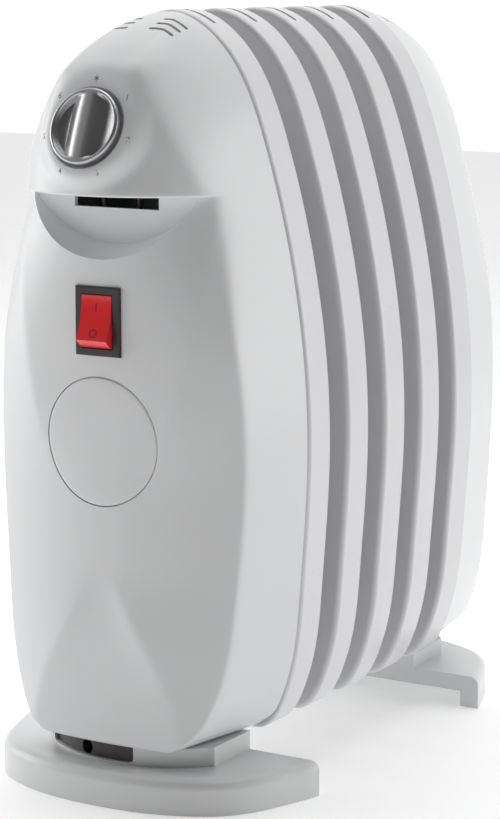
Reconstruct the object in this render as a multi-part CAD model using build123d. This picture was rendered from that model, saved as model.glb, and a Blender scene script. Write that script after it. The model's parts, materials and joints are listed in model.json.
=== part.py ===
"""Small oil filled radiator heater, in millimetres.

+Z is up, the control side faces -Y, and the origin is on the floor under the middle of the object.
"""
import os
from math import cos, radians, sin

from build123d import *

# ------------------------------------------------------------------ driving dimensions
HEIGHT = 380.0
FIN_COUNT = 5
FIN_PITCH = 39.0
BAND = 20.0                 # depth of a fin's outer band
SHEET = 0.8                 # pressed steel
WALL = 2.4                  # moulded covers and feet
PACK_Y = 6.15               # middle fin's centre plane
CHAMBER = 6.0               # oil space between a fin's two sheets
FACE_ROUND = 2.5            # rolled edge of a fin

OUTLINE = [(0.0, HEIGHT), (28.4, 366.5), (54.7, 318.0), (70.7, 256.0), (79.1, 165.0), (75.1, 99.0),
           (66.0, 47.5)]    # one side of the fin, from the crown down
HALF_WIDTH = 79.1
BASE_HALF = 48.0            # half of the flat underside
BASE_Z = 27.0
MID_Z = (HEIGHT + BASE_Z) / 2

UPPER_HUB_Z = 300.0
LOWER_HUB_Z = 82.0
HUB_R = 22.0
HUB_TAPER = 4.0
GALLERY_R = 14.0
FILLER_R = 5.0
FILLER_HEX = 13.0
PLUG_HEX = 38.0             # heating element's screwed plug, across the flats
CROWN_SLOT = (40.0, 3.0)    # warm air slot in the top of each band

FRONT_Y = PACK_Y - 2 * FIN_PITCH - BAND / 2      # front edge of the first band
REAR_Y = PACK_Y + 2 * FIN_PITCH + BAND / 2       # rear edge of the last band
PARTING = 0.6                                    # dark line between a cover and its fin

COVER_TUCK = 0.8            # the covers are this much smaller than the fins
COVER_DRAFT = 14.0          # how far the sides lean in over COVER_DEPTH
COVER_DEPTH = 80.0
PANEL_DEPTH = 63.0          # front panel's middle, ahead of the first band
PANEL_R = 145.0             # front panel's curve in plan
VISOR_R = 63.0
VISOR_LEAN = 8.0
VISOR_Z = 295.0             # underside of the visor
FRONT_VISOR = 76.5          # how far the visor stands ahead of the first band
REAR_VISOR = 69.0
CROWN_LINE = [(1.0, 0.0), (0.93, 0.36), (0.835, 0.64), (0.66, 0.775), (0.33, 0.91), (-0.08, 1.01)]

RECESS_FLOOR = 47.0         # finger recess under the visor: its inner wall, ahead of the first band
RECESS_HALF = 46.0          # at that wall
RECESS_LOW_Z = 270.6
RECESS_DRAFT = 0.39         # how much it opens out for each millimetre towards the front
SLOT_HALF = 24.0            # air slot in the recess
SLOT_Z = (287.4, 294.6)
VENT_X = (6.0, 21.0)
VENT_STEP = 6.5
VENT_WIDTH = 2.2

DIAL_TILT = 22.0
DIAL_Z = 326.7
DIAL_Y = FRONT_Y - 71.25
SEAT_R = 22.0
KNOB_R = 18.6
KNOB_RIM = 3.4              # knob's face above its seat
BOWL_R = 13.0               # two scoops that leave the grip bar
BOWL_DEPTH = 3.2
BOWL_X = 14.4
WELL_R = 19.8
WELL_DEPTH = 3.0
SPINDLE_R = 3.0
RUNNING = 0.06              # radial clearance of a turning fit
DIAL_PLATE = 26.0           # thermostat's plate behind the seat
DIAL_PLATE_W = 46.0
CHEEK_X = 20.75             # two cheeks carry that plate

SWITCH_Z = 235.0
BEZEL_W = 25.0
BEZEL_H = 33.0
BEZEL_PROUD = 2.0
BODY_W = 21.6
BODY_H = 30.6
BODY_D = 23.0
ROCKER_W = 17.0
ROCKER_HALF = 10.8
ROCKER_LEAN = 13.0          # half of the rocker's travel, degrees
ROCKER_PIVOT = 6.0          # pivot behind the bezel's face
WINDOW_HALF = 13.1
LEVER_PIVOT = 15.0
LEVER_LEAN = 8.0            # half of the contact lever's travel, degrees

CAP_Z = 177.0
CAP_R = 31.0
CAP_T = 1.5

FOOT_TOP = 17.5
FOOT_EDGE = [(0.0, 69.4), (48.0, 60.5), (65.5, 49.5), (77.0, 32.0), (84.5, 12.0), (88.0, 0.0)]
FOOT_ROUND = 5.0
LEG = 10.8
ARCH_Z = 8.5
PEDESTAL_HALF = 48.4
PEDESTAL_SIDE = 33.4
PEDESTAL_DEPTH = 54.4
FRONT_FOOT_Y = FRONT_Y - 4.6        # straight side of the front foot
REAR_FOOT_Y = REAR_Y - 5.0
OUTLET_X = (-42.0, 14.0)            # cord outlet in the front pedestal
OUTLET_Z = (18.6, 26.6)
CORD_X = -14.0
CORD_R = 3.6

PLATE = 1.5                         # brackets
WEB_HALF = 36.0
FRONT_WEB_Y = FRONT_Y - 9.0
REAR_WEB_Y = REAR_Y + 7.5
FRONT_WEB_TOP = 345.0
REAR_WEB_TOP = 285.0
FLANGE_Z = 31.5
FOOT_SCREW_X = 30.0
FOOT_SCREW_REACH = 24.0             # from the band to the foot's screws
STUD_X = 26.0
STUD_Z = (140.0, 250.0)
SCREW_R = 1.75
HEAD_R = 3.4
HEAD_H = 2.2
WIRE_R = 1.1
PIN_X = 6.5                         # element's two legs
ELEMENT_R = 4.2
EARTH_X = 30.0
EARTH_Z = 112.0
CUTOUT_Z = 128.0                    # thermal cutout's button behind the web

parts = {}


# ------------------------------------------------------------------ helpers
def across(y, z=0.0):
    """Plane that looks at the front: local x is X, local y is Z, local z points to -Y."""
    return Plane(origin=(0, y, z), x_dir=(1, 0, 0), z_dir=(0, -1, 0))


def slab(face, y0, y1):
    """Solid between two depths, from a face drawn in X and Z."""
    return extrude(across(y0) * face, amount=y0 - y1)


def box(x, y, z):
    """Box from three (low, high) pairs."""
    size = (x[1] - x[0], y[1] - y[0], z[1] - z[0])
    return Pos(x[0], y[0], z[0]) * Box(*size, align=(Align.MIN, Align.MIN, Align.MIN))


def on_end(radius, length, top_radius=None):
    """Cylinder or cone that stands on its base."""
    align = (Align.CENTER, Align.CENTER, Align.MIN)
    if top_radius is None:
        return Cylinder(radius, length, align=align)
    return Cone(radius, top_radius, length, align=align)


def rod(radius, start, end, end_radius=None):
    """Round bar or cone between two points."""
    a = Vector(*start)
    way = Vector(*end) - a
    return Plane(origin=a, z_dir=way) * on_end(radius, way.length, end_radius)


def hexagon(flats, start, end):
    """Hexagonal bar between two points."""
    a = Vector(*start)
    way = Vector(*end) - a
    section = RegularPolygon(flats / 2, 6, major_radius=False)
    return extrude(Plane(origin=a, z_dir=way) * section, amount=way.length)


def lead(points, bend=5.0):
    """Insulated wire along straight runs joined by bends."""
    path = FilletPolyline(*points, radius=bend)
    section = Plane(origin=path @ 0, z_dir=path % 0) * Circle(WIRE_R)
    return sweep(section, path=path)


def screw(head, tip, shank=SCREW_R, head_r=HEAD_R):
    """Pan-head screw with a cross recess; head is the point under its head."""
    a = Vector(*head)
    way = (Vector(*tip) - a).normalized()
    top = a - way * HEAD_H
    body = rod(shank, head, tip) + rod(head_r, tuple(top), head)
    drive = Plane(origin=top, z_dir=way)
    for size in ((3.6, 0.9), (0.9, 3.6)):
        body -= drive * Box(*size, 2.4)
    return body


def group(solids):
    """Separate solids kept as one node."""
    return Compound(children=list(solids))


def fin_face(inset=0.0, lean=0.0):
    """Outline of a fin in X and Z, drawn in evenly by inset and at the sides by lean."""
    wide = 1 - (inset + lean) / HALF_WIDTH
    tall = 1 - inset / (HEIGHT - MID_Z)
    points = [(x * wide, MID_Z + (z - MID_Z) * tall) for x, z in OUTLINE + [(BASE_HALF, BASE_Z)]]
    right = Spline(points, tangents=[(1, 0), (-1, 0)], tangent_scalars=(1, 1))
    base = Line(points[-1], (-points[-1][0], points[-1][1]))
    return make_face([right, base, mirror(right, Plane.YZ)])


# ------------------------------------------------------------------ radiator
def hub(z, y0, y1):
    """Pressed cone that meets the next fin's cone; returns its skin and its hollow."""
    way = 1 if y1 > y0 else -1
    tip_r = HUB_R - HUB_TAPER
    skin = rod(HUB_R, (0, y0, z), (0, y1, z), tip_r)
    hollow = rod(HUB_R - SHEET, (0, y0 - way * SHEET, z), (0, y1 - way * SHEET, z), tip_r - SHEET)
    hollow += rod(GALLERY_R, (0, y0, z), (0, y1 + way, z))
    return skin, hollow


def front_sheet(y_mid, joined):
    """Pan-shaped sheet that carries the band; its hubs meet the fin in front."""
    face_y = y_mid - BAND / 2
    outer = slab(fin_face(), face_y, y_mid + BAND / 2)
    outer = fillet(outer.faces().sort_by(Axis.Y)[0].edges(), FACE_ROUND)
    inner = slab(fin_face(SHEET), face_y + SHEET, y_mid + BAND / 2 + 1)
    inner = fillet(inner.faces().sort_by(Axis.Y)[0].edges(), FACE_ROUND - SHEET)
    shell = outer - inner
    if joined:
        for z in (UPPER_HUB_Z, LOWER_HUB_Z):
            skin, hollow = hub(z, face_y + SHEET, y_mid - FIN_PITCH / 2)
            shell = shell + skin - hollow
    else:
        for z, radius in ((UPPER_HUB_Z, FILLER_R), (LOWER_HUB_Z, GALLERY_R)):
            shell -= rod(radius, (0, face_y - 1, z), (0, face_y + 2, z))
    slot = extrude(SlotOverall(*CROWN_SLOT), amount=16)
    return shell - Pos(0, y_mid, HEIGHT - 8) * slot


def rear_sheet(y_mid, joined):
    """Shallow sheet welded inside the band behind the oil; its hubs meet the fin behind."""
    face_y = y_mid - BAND / 2 + SHEET + CHAMBER
    shell = slab(fin_face(SHEET), face_y - 4, face_y + SHEET) - slab(fin_face(2 * SHEET), face_y - 5, face_y)
    if joined:
        for z in (UPPER_HUB_Z, LOWER_HUB_Z):
            skin, hollow = hub(z, face_y, y_mid + FIN_PITCH / 2)
            shell = shell + skin - hollow
    return shell


def radiator():
    """Five fins, the element in the bottom gallery, and the filler plug."""
    for number in range(1, FIN_COUNT + 1):
        y_mid = PACK_Y + (number - 3) * FIN_PITCH
        parts[f"fin_{number}_front_sheet"] = front_sheet(y_mid, joined=number > 1)
        parts[f"fin_{number}_rear_sheet"] = rear_sheet(y_mid, joined=number < FIN_COUNT)
    z = LOWER_HUB_Z
    gasket_y = FRONT_Y - 1.5
    ring = rod(PLUG_HEX / 2, (0, gasket_y, z), (0, FRONT_Y, z))
    parts["element_gasket"] = ring - rod(GALLERY_R, (0, gasket_y - 1, z), (0, FRONT_Y + 1, z))
    head_y = gasket_y - 5.0
    plug = hexagon(PLUG_HEX, (0, head_y, z), (0, gasket_y, z))
    plug += rod(GALLERY_R, (0, gasket_y, z), (0, FRONT_Y + 5, z))
    far_y = REAR_Y - 34.0
    start = head_y - 3.0
    run = FilletPolyline((-PIN_X, start, z), (-PIN_X, far_y, z), (PIN_X, far_y, z), (PIN_X, start, z),
                         radius=PIN_X - 0.2)
    sheath = sweep(Plane(origin=run @ 0, z_dir=run % 0) * Circle(ELEMENT_R), path=run)
    parts["heating_element"] = sheath
    for x in (-PIN_X, PIN_X):
        plug -= rod(ELEMENT_R, (x, head_y - 1, z), (x, FRONT_Y + 6, z))
    parts["element_plug"] = plug
    parts["element_terminals"] = group(
        rod(1.6, (x, start - 9, z), (x, start, z)) for x in (-PIN_X, PIN_X))
    z = UPPER_HUB_Z
    filler = hexagon(FILLER_HEX, (0, FRONT_Y - 4, z), (0, FRONT_Y, z))
    parts["filler_plug"] = filler + rod(FILLER_R, (0, FRONT_Y, z), (0, FRONT_Y + 4, z))


# ------------------------------------------------------------------ covers
def panel_prism(inset, top):
    """Everything behind the front panel's curve, drawn in by inset."""
    radius = PANEL_R - inset
    return Pos(0, FRONT_Y - PANEL_DEPTH + PANEL_R, 0) * on_end(radius, top)


def visor_block(reach, inset):
    """Everything behind the visor's dome, drawn in by inset."""
    rise = HEIGHT - VISOR_Z
    deep = reach - inset
    tall = rise - inset
    crown = [(FRONT_Y - deep * a, VISOR_Z + tall * b) for a, b in CROWN_LINE]
    low = VISOR_Z + inset
    crown[0] = (crown[0][0], low)
    line = Spline([(0, y, z) for y, z in crown])
    back = FRONT_Y + 20.0
    sides = Polyline((0, *crown[-1]), (0, back, crown[-1][1]), (0, back, low), (0, *crown[0]))
    block = extrude(make_face([line, sides]), amount=HALF_WIDTH, both=True)
    axis = Plane(origin=(0, FRONT_Y - reach + VISOR_R, VISOR_Z),
                 z_dir=(0, sin(radians(VISOR_LEAN)), cos(radians(VISOR_LEAN))))
    drum = axis * Cylinder(VISOR_R - inset, 300)
    return block & (drum + box((-HALF_WIDTH, HALF_WIDTH), (FRONT_Y - reach + VISOR_R, back), (200, 400)))


def cover_block(reach, inset):
    """Solid form of a cover that faces -Y, drawn in by inset all round."""
    rear = FRONT_Y - PARTING + (1.0 if inset else 0.0)
    edge = across(rear) * fin_face(COVER_TUCK + inset)
    tip = across(FRONT_Y - COVER_DEPTH) * fin_face(COVER_TUCK + inset, COVER_DRAFT)
    front = panel_prism(inset, VISOR_Z + inset + 0.5)
    front &= box((-100, 100), (FRONT_Y - 100, FRONT_Y + 20), (0, HEIGHT + 20))
    return loft([edge, tip]) & (front + visor_block(reach, inset))


def recess(grow):
    """Crescent pocket for the fingers, opened out by grow."""
    faces = []
    ahead = COVER_DEPTH + 6 - RECESS_FLOOR
    for y, spread in ((FRONT_Y - RECESS_FLOOR + grow, 0.0),
                      (FRONT_Y - RECESS_FLOOR - ahead, ahead * RECESS_DRAFT)):
        half = RECESS_HALF + spread + grow
        low = RECESS_LOW_Z - spread - grow
        top = VISOR_Z + (grow if grow else 0.0)
        arc = ThreePointArc((-half, top), (0, low), (half, top))
        faces.append(across(y) * make_face([arc, Line((half, top), (-half, top))]))
    return loft(faces)


def vents():
    """Two groups of three slots through the crown."""
    slots = []
    for row in range(3):
        y = FRONT_Y - 14 - row * VENT_STEP
        for side in (-1, 1):
            x = side * sum(VENT_X) / 2
            outline = SlotOverall(VENT_X[1] - VENT_X[0], VENT_WIDTH)
            slots.append(Pos(x, y, HEIGHT - 30) * extrude(outline, amount=40))
    return slots


def cover_shell(reach):
    """Hollow cover with its finger recess, air slot, vents and screw holes."""
    shell = cover_block(reach, 0.0) - recess(0.0) - (cover_block(reach, WALL) - recess(WALL))
    floor_y = FRONT_Y - RECESS_FLOOR
    shell -= box((-SLOT_HALF, SLOT_HALF), (floor_y - 1, floor_y + WALL + 1), SLOT_Z)
    for slot in vents():
        shell -= slot
    for x in (-FOOT_SCREW_X, FOOT_SCREW_X):
        y = FRONT_Y - FOOT_SCREW_REACH
        shell -= rod(SCREW_R + 0.3, (x, y, BASE_Z - 1), (x, y, FLANGE_Z))
    return shell


def dial_plane(depth=0.0, up=0.0):
    """Plane of the dial's seat; depth is measured outwards from it."""
    tilt = radians(DIAL_TILT)
    y = DIAL_Y - depth * cos(tilt) + up * sin(tilt)
    z = DIAL_Z + depth * sin(tilt) + up * cos(tilt)
    return Plane(origin=(0, y, z), x_dir=(1, 0, 0), z_dir=(0, -cos(tilt), sin(tilt)))


def panel_y(x=0.0, inset=0.0):
    """Front panel's depth at a distance x from the middle."""
    radius = PANEL_R - inset
    return FRONT_Y - PANEL_DEPTH + PANEL_R - (radius ** 2 - x ** 2) ** 0.5


def front_cover():
    """Front cover: the common shell with the dial well, the switch opening and the cap's seat."""
    shell = cover_shell(FRONT_VISOR)
    shell += dial_plane(-WELL_DEPTH - WALL) * on_end(WELL_R + WALL, WELL_DEPTH + WALL - 0.5)
    shell -= dial_plane(0) * on_end(SEAT_R, 20)
    shell -= dial_plane(-WELL_DEPTH) * on_end(WELL_R, 20)
    shell -= dial_plane(-WELL_DEPTH - WALL - 1) * on_end(7.0, 20)
    seat_y = panel_y(BEZEL_W / 2)
    shell -= across(seat_y, SWITCH_Z) * Pos(0, 0, 5) * Box(BEZEL_W + 0.4, BEZEL_H + 0.4, 10)
    shell -= across(seat_y, SWITCH_Z) * Box(BODY_W + 0.3, BODY_H + 0.3, 20)
    disc = rod(CAP_R + 0.5, (0, FRONT_Y - 90, CAP_Z), (0, FRONT_Y - 40, CAP_Z))
    shell -= disc - panel_prism(CAP_T, HEIGHT)
    for x in (-18, 18):
        shell -= rod(2.6, (x, FRONT_Y - 90, CAP_Z), (x, FRONT_Y - 40, CAP_Z))
    parts["front_cover"] = shell
    cap = rod(CAP_R, (0, FRONT_Y - 90, CAP_Z), (0, FRONT_Y - 40, CAP_Z)) & (
        panel_prism(0.0, HEIGHT) - panel_prism(CAP_T, HEIGHT))
    for x in (-18, 18):
        cap += rod(2.5, (x, panel_y(x, CAP_T / 2), CAP_Z), (x, panel_y(x, WALL) + 3, CAP_Z))
    parts["round_cap"] = cap


def rear_cover():
    """Rear cover: the same shell, turned to face the back."""
    parts["rear_cover"] = mirror(cover_shell(REAR_VISOR), Plane(origin=(0, PACK_Y, 0), z_dir=(0, 1, 0)))


# ------------------------------------------------------------------ feet
def foot_face(inset=0.0):
    """D-shaped plan of a foot whose straight side lies on y = 0."""
    points = [(x * (1 - inset / 88.0), -y * (1 - inset / 69.4)) for x, y in FOOT_EDGE]
    right = Spline(points, tangents=[(1, 0), (0.2, 1)])
    base = Line(points[-1], (-points[-1][0], points[-1][1]))
    return make_face([right, base, mirror(right, Plane.YZ)])


def pedestal_face(inset=0.0):
    """Plan of the pedestal: straight sides and a bowed front."""
    half = PEDESTAL_HALF - inset
    front = PEDESTAL_DEPTH - inset
    side = PEDESTAL_SIDE - inset / 2
    arc = ThreePointArc((half, -side), (0, -front), (-half, -side))
    sides = Polyline((-half, -side), (-half, -inset), (half, -inset), (half, -side))
    return make_face([arc, sides])


def foot(screw_y, outlet):
    """Foot and pedestal in one moulding, hollow below, straight side on y = 0."""
    body = extrude(foot_face(), amount=FOOT_TOP)
    rim = body.faces().sort_by(Axis.Z)[-1].edges().filter_by(GeomType.LINE, reverse=True)
    body = fillet(rim, FOOT_ROUND)
    body += extrude(pedestal_face(), amount=BASE_Z)
    body -= extrude(foot_face(3.0), amount=FOOT_TOP - 3) & box((-90, 90), (-80, -WALL), (0, FOOT_TOP))
    body -= extrude(pedestal_face(3.0), amount=BASE_Z - 3)
    body -= box((-88 + LEG, 88 - LEG), (-WALL - 1, 1), (-1, ARCH_Z))
    for x in (-FOOT_SCREW_X, FOOT_SCREW_X):
        body -= Pos(x, screw_y, BASE_Z - 4) * on_end(SCREW_R + 0.3, 6)
    if outlet:
        mouth = box(OUTLET_X, (-PEDESTAL_DEPTH - 2, -25), (OUTLET_Z[0], BASE_Z + 1))
        body -= fillet(mouth.edges().filter_by(Axis.Y).group_by(Axis.Z)[0], 2.4)
    return body


def feet():
    """Both feet, their screws and the cord's gland."""
    front_screw_y = FRONT_Y - FOOT_SCREW_REACH
    rear_screw_y = REAR_Y + FOOT_SCREW_REACH
    front = foot(front_screw_y - FRONT_FOOT_Y, outlet=True)
    rear = foot(REAR_FOOT_Y - rear_screw_y, outlet=False)
    parts["front_foot"] = Pos(0, FRONT_FOOT_Y, 0) * front
    parts["rear_foot"] = Pos(0, REAR_FOOT_Y, 0) * Rot(0, 0, 180) * rear
    block = extrude(pedestal_face(1.6), amount=BASE_Z) & box(
        (OUTLET_X[0] + 0.3, OUTLET_X[1] - 0.3), (-PEDESTAL_DEPTH, -28), (OUTLET_Z[0] + 0.3, OUTLET_Z[1]))
    block = fillet(block.edges().filter_by(Axis.Y).group_by(Axis.Z)[0], 2.1)
    block -= rod(CORD_R, (CORD_X, -60, 22.6), (CORD_X, -20, 22.6))
    parts["cord_gland"] = Pos(0, FRONT_FOOT_Y, 0) * block
    for name, y in (("front_foot_screws", front_screw_y), ("rear_foot_screws", rear_screw_y)):
        parts[name] = group(
            screw((x, y, BASE_Z - 3), (x, y, FLANGE_Z + 6)) for x in (-FOOT_SCREW_X, FOOT_SCREW_X))


# ------------------------------------------------------------------ brackets
def bracket_plate(web_y, way, top_z):
    """Upright web with a flange at its foot; way is the side that the flange points to."""
    low, high = sorted((web_y, web_y - way * PLATE))
    plate = box((-WEB_HALF, WEB_HALF), (low, high), (FLANGE_Z, top_z))
    low, high = sorted((web_y, web_y + way * 26))
    plate += box((-WEB_HALF, WEB_HALF), (low, high), (FLANGE_Z, FLANGE_Z + PLATE))
    for x in (-FOOT_SCREW_X, FOOT_SCREW_X):
        band_y = FRONT_Y if way < 0 else REAR_Y
        y = band_y + way * FOOT_SCREW_REACH
        plate -= rod(SCREW_R, (x, y, FLANGE_Z - 1), (x, y, FLANGE_Z + 3))
    for x in (-STUD_X, STUD_X):
        for z in STUD_Z:
            plate -= rod(2.2, (x, web_y - 5, z), (x, web_y + 5, z))
    return plate


def studs(fin_y, web_inner, way):
    """Four welded studs, each with a shoulder up to the web, and their nuts."""
    bars = []
    nuts = []
    web_outer = web_inner + way * PLATE
    for x in (-STUD_X, STUD_X):
        for z in STUD_Z:
            shoulder = rod(4, (x, fin_y, z), (x, web_inner, z))
            bars.append(shoulder + rod(2, (x, web_inner, z), (x, web_outer + way * 5, z)))
            nuts.append(hexagon(7, (x, web_outer, z), (x, web_outer + way * 3.2, z))
                        - rod(2, (x, web_outer - way, z), (x, web_outer + way * 4, z)))
    return group(bars), group(nuts)


def brackets():
    """Front bracket with the thermostat's tilted plate, and the plain rear bracket."""
    front = bracket_plate(FRONT_WEB_Y, -1, FRONT_WEB_TOP)
    holes = ((24.0, 0.0, LOWER_HUB_Z), (9.5, 0.0, CUTOUT_Z), (12.0, 0.0, UPPER_HUB_Z),
             (SCREW_R, EARTH_X, EARTH_Z))
    for radius, x, z in holes:
        front -= rod(radius, (x, FRONT_WEB_Y - 5, z), (x, FRONT_WEB_Y + 5, z))
    back = -DIAL_PLATE - PLATE
    front += dial_plane(back, 2) * Pos(0, 0, PLATE / 2) * Box(DIAL_PLATE_W, 26, PLATE)
    high = dial_plane(back + PLATE / 2, 13).origin
    low = dial_plane(back + PLATE / 2, -9).origin
    root = FRONT_WEB_Y + PLATE / 2
    outline = Polyline((0, high.Y, high.Z), (0, root, high.Z), (0, root, low.Z), (0, low.Y, low.Z),
                       close=True)
    cheek = extrude(make_face(outline), amount=PLATE / 2, both=True)
    for side in (-1, 1):
        front += Pos(side * CHEEK_X, 0, 0) * cheek
    front -= dial_plane(-DIAL_PLATE - 3) * on_end(5.05, 5)
    for x in (-13, 13):
        front -= dial_plane(-DIAL_PLATE - 3) * Pos(x, 0, 0) * on_end(SCREW_R + 0.2, 5)
    parts["front_bracket"] = front
    parts["front_studs"], parts["front_stud_nuts"] = studs(FRONT_Y, FRONT_WEB_Y + PLATE, -1)
    parts["rear_bracket"] = bracket_plate(REAR_WEB_Y, 1, REAR_WEB_TOP)
    back_sheet_y = REAR_Y - BAND + 2 * SHEET + CHAMBER
    parts["rear_studs"], parts["rear_stud_nuts"] = studs(back_sheet_y, REAR_WEB_Y - PLATE, 1)


# ------------------------------------------------------------------ thermostat and knob
def knob():
    """Dished knob: a rim, two scoops that leave a grip bar, and a hub for the spindle."""
    under = -WELL_DEPTH + 0.6
    body = Pos(0, 0, under) * on_end(KNOB_R, KNOB_RIM - under)
    body = fillet(body.edges().sort_by(Axis.Z)[-1], 1.2)
    mask = Pos(0, 0, -10) * on_end(KNOB_R - 1.9, 40)
    for side in (-1, 1):
        scoop = Pos(side * BOWL_X, 0, KNOB_RIM + BOWL_R - BOWL_DEPTH) * Rot(90, 0, 0) * Cylinder(BOWL_R, 60)
        body -= scoop & mask
    body -= Pos(0, 0, under - 1) * (on_end(KNOB_R - 1.6, 2.4) - on_end(6.0, 2.4))
    body += Pos(0, 0, -9.0) * on_end(5.0, 9.0 + under + 0.1)
    body -= Pos(0, 0, -12) * on_end(SPINDLE_R, 11)
    parts["control_knob"] = dial_plane(0) * body


def thermostat():
    """Bimetal thermostat on the bracket's tilted plate."""
    back = -DIAL_PLATE - PLATE
    body = dial_plane(back - 17, 2) * Pos(0, 0, 8.5) * Box(34, 24, 17)
    body += dial_plane(back) * on_end(5.0, 9)
    body -= dial_plane(back - 18) * on_end(SPINDLE_R + RUNNING, 40)
    for x in (-13, 13):
        body -= dial_plane(back - 8) * Pos(x, 0, 0) * on_end(SCREW_R, 9)
    parts["thermostat_body"] = body
    parts["thermostat_spindle"] = dial_plane(back - 15) * on_end(SPINDLE_R, 14 - back)
    nut = dial_plane(-DIAL_PLATE) * extrude(RegularPolygon(7, 6, major_radius=False), amount=3)
    parts["thermostat_nut"] = nut - dial_plane(-DIAL_PLATE - 1) * on_end(5.0, 6)
    heads = []
    for x in (-13, 13):
        spot = dial_plane(-DIAL_PLATE)
        tip = dial_plane(back - 7)
        heads.append(screw((x, spot.origin.Y, spot.origin.Z), (x, tip.origin.Y, tip.origin.Z), head_r=2.6))
    parts["thermostat_screws"] = group(heads)
    strip = dial_plane(back - 20.0, 2) * Pos(0, 0, 0.4) * Box(8, 22, 0.8)
    strip += dial_plane(back - 19.6, 10) * on_end(1.8, 2.6)
    parts["bimetal_strip"] = strip
    parts["thermostat_terminals"] = group(
        dial_plane(back - 9, -10) * Pos(x, -4, 0) * Box(6.3, 8, 0.8) for x in (-10, 10))


# ------------------------------------------------------------------ switch
def switch_plane():
    """Plane of the bezel's face."""
    return across(panel_y(BEZEL_W / 2) - BEZEL_PROUD, SWITCH_Z)


def rocker_frame():
    """Rocker's own frame at its pivot, leaning with its top pressed in."""
    return switch_plane() * Pos(0, 0, -ROCKER_PIVOT) * Rot(-ROCKER_LEAN, 0, 0)


def switch_housing():
    """Bezel and box, with a window for the rocker and a bore for its trunnions."""
    body = Pos(0, 0, -BEZEL_PROUD / 2) * Box(BEZEL_W, BEZEL_H, BEZEL_PROUD)
    body = fillet(body.faces().sort_by(Axis.Z)[-1].edges(), 0.6)
    body += Pos(0, 0, -BEZEL_PROUD - BODY_D / 2) * Box(BODY_W, BODY_H, BODY_D)
    body -= Pos(0, 0, -1) * Box(ROCKER_W + 0.7, 2 * WINDOW_HALF, 4)
    body -= Pos(0, 0, -5.5) * Box(ROCKER_W + 0.7, 28.6, 9)
    body -= Pos(0, 0, -15) * Box(ROCKER_W + 0.7, 22, 14)
    body -= Pos(0, 0, -ROCKER_PIVOT) * Rot(0, 90, 0) * Cylinder(1.5 + RUNNING, BODY_W - 1)
    for y in (-9, 0, 9):
        body -= Pos(0, y, -BODY_D) * Box(6.3, 0.8, 8)
    parts["switch_housing"] = switch_plane() * body


def rocker():
    """Rocker with trunnions, and the spring, plunger and lamp that it carries."""
    half = ROCKER_HALF
    front = ROCKER_PIVOT + 2.8
    reach = (half ** 2 + front ** 2) ** 0.5

    def rim(degrees, side):
        """Point on the rocker's end arc, which is centred on the pivot."""
        return (0, side * reach * cos(radians(degrees)), reach * sin(radians(degrees)))

    face = ThreePointArc((0, -half, front), (0, 0, front - 1.2), (0, half, front))
    ends = [ThreePointArc((0, side * half, front), rim(26, side), rim(12, side)) for side in (1, -1)]
    under = Polyline(rim(12, 1), (0, 9, -2.5), (0, -9, -2.5), rim(12, -1))
    body = extrude(make_face([face, *ends, under]), amount=ROCKER_W / 2, both=True)
    body += Rot(0, 90, 0) * Cylinder(1.5, BODY_W - 1.4)
    body += Pos(0, 0, -5.5) * on_end(3.0, 5)
    body -= Pos(0, 0, -6) * on_end(1.6, 8)
    body -= Pos(0, -7, 0.5) * Box(10, 4.6, 7)
    frame = rocker_frame()
    parts["rocker"] = frame * body
    parts["rocker_plunger"] = frame * (Pos(0, 0, -7.0) * on_end(1.5, 5) + Pos(0, 0, -7.0) * Sphere(1.5))
    coil = Helix(pitch=0.8, height=3.2, radius=1.1)
    wire = sweep(Plane(origin=coil @ 0, z_dir=coil % 0) * Circle(0.22), path=coil)
    parts["plunger_spring"] = frame * Pos(0, 0, -1.7) * wire
    lamp = Rot(0, 90, 0) * Cylinder(1.8, 8)
    parts["neon_lamp"] = frame * Pos(0, -7, 1.5) * lamp


def switch_contacts():
    """Three terminals and the see-saw contact lever on the middle one."""
    tabs = []
    for y, inner in ((-9, -19.0), (0, -16.4), (9, -19.0)):
        tabs.append(Pos(0, y, 0) * box((-3.15, 3.15), (-0.4, 0.4), (-BODY_D - 10, inner)))
    parts["switch_terminals"] = group(switch_plane() * tab for tab in tabs)
    lever = Pos(0, 0, 0.4) * Box(5, 17, 0.7)
    lever += Pos(0, -7.4, -0.9) * Cylinder(1.4, 2.0)
    lever += Rot(0, 90, 0) * Cylinder(0.7, 5)
    frame = switch_plane() * Pos(0, 0, -LEVER_PIVOT - 0.6) * Rot(LEVER_LEAN, 0, 0)
    parts["contact_lever"] = frame * lever


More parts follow.
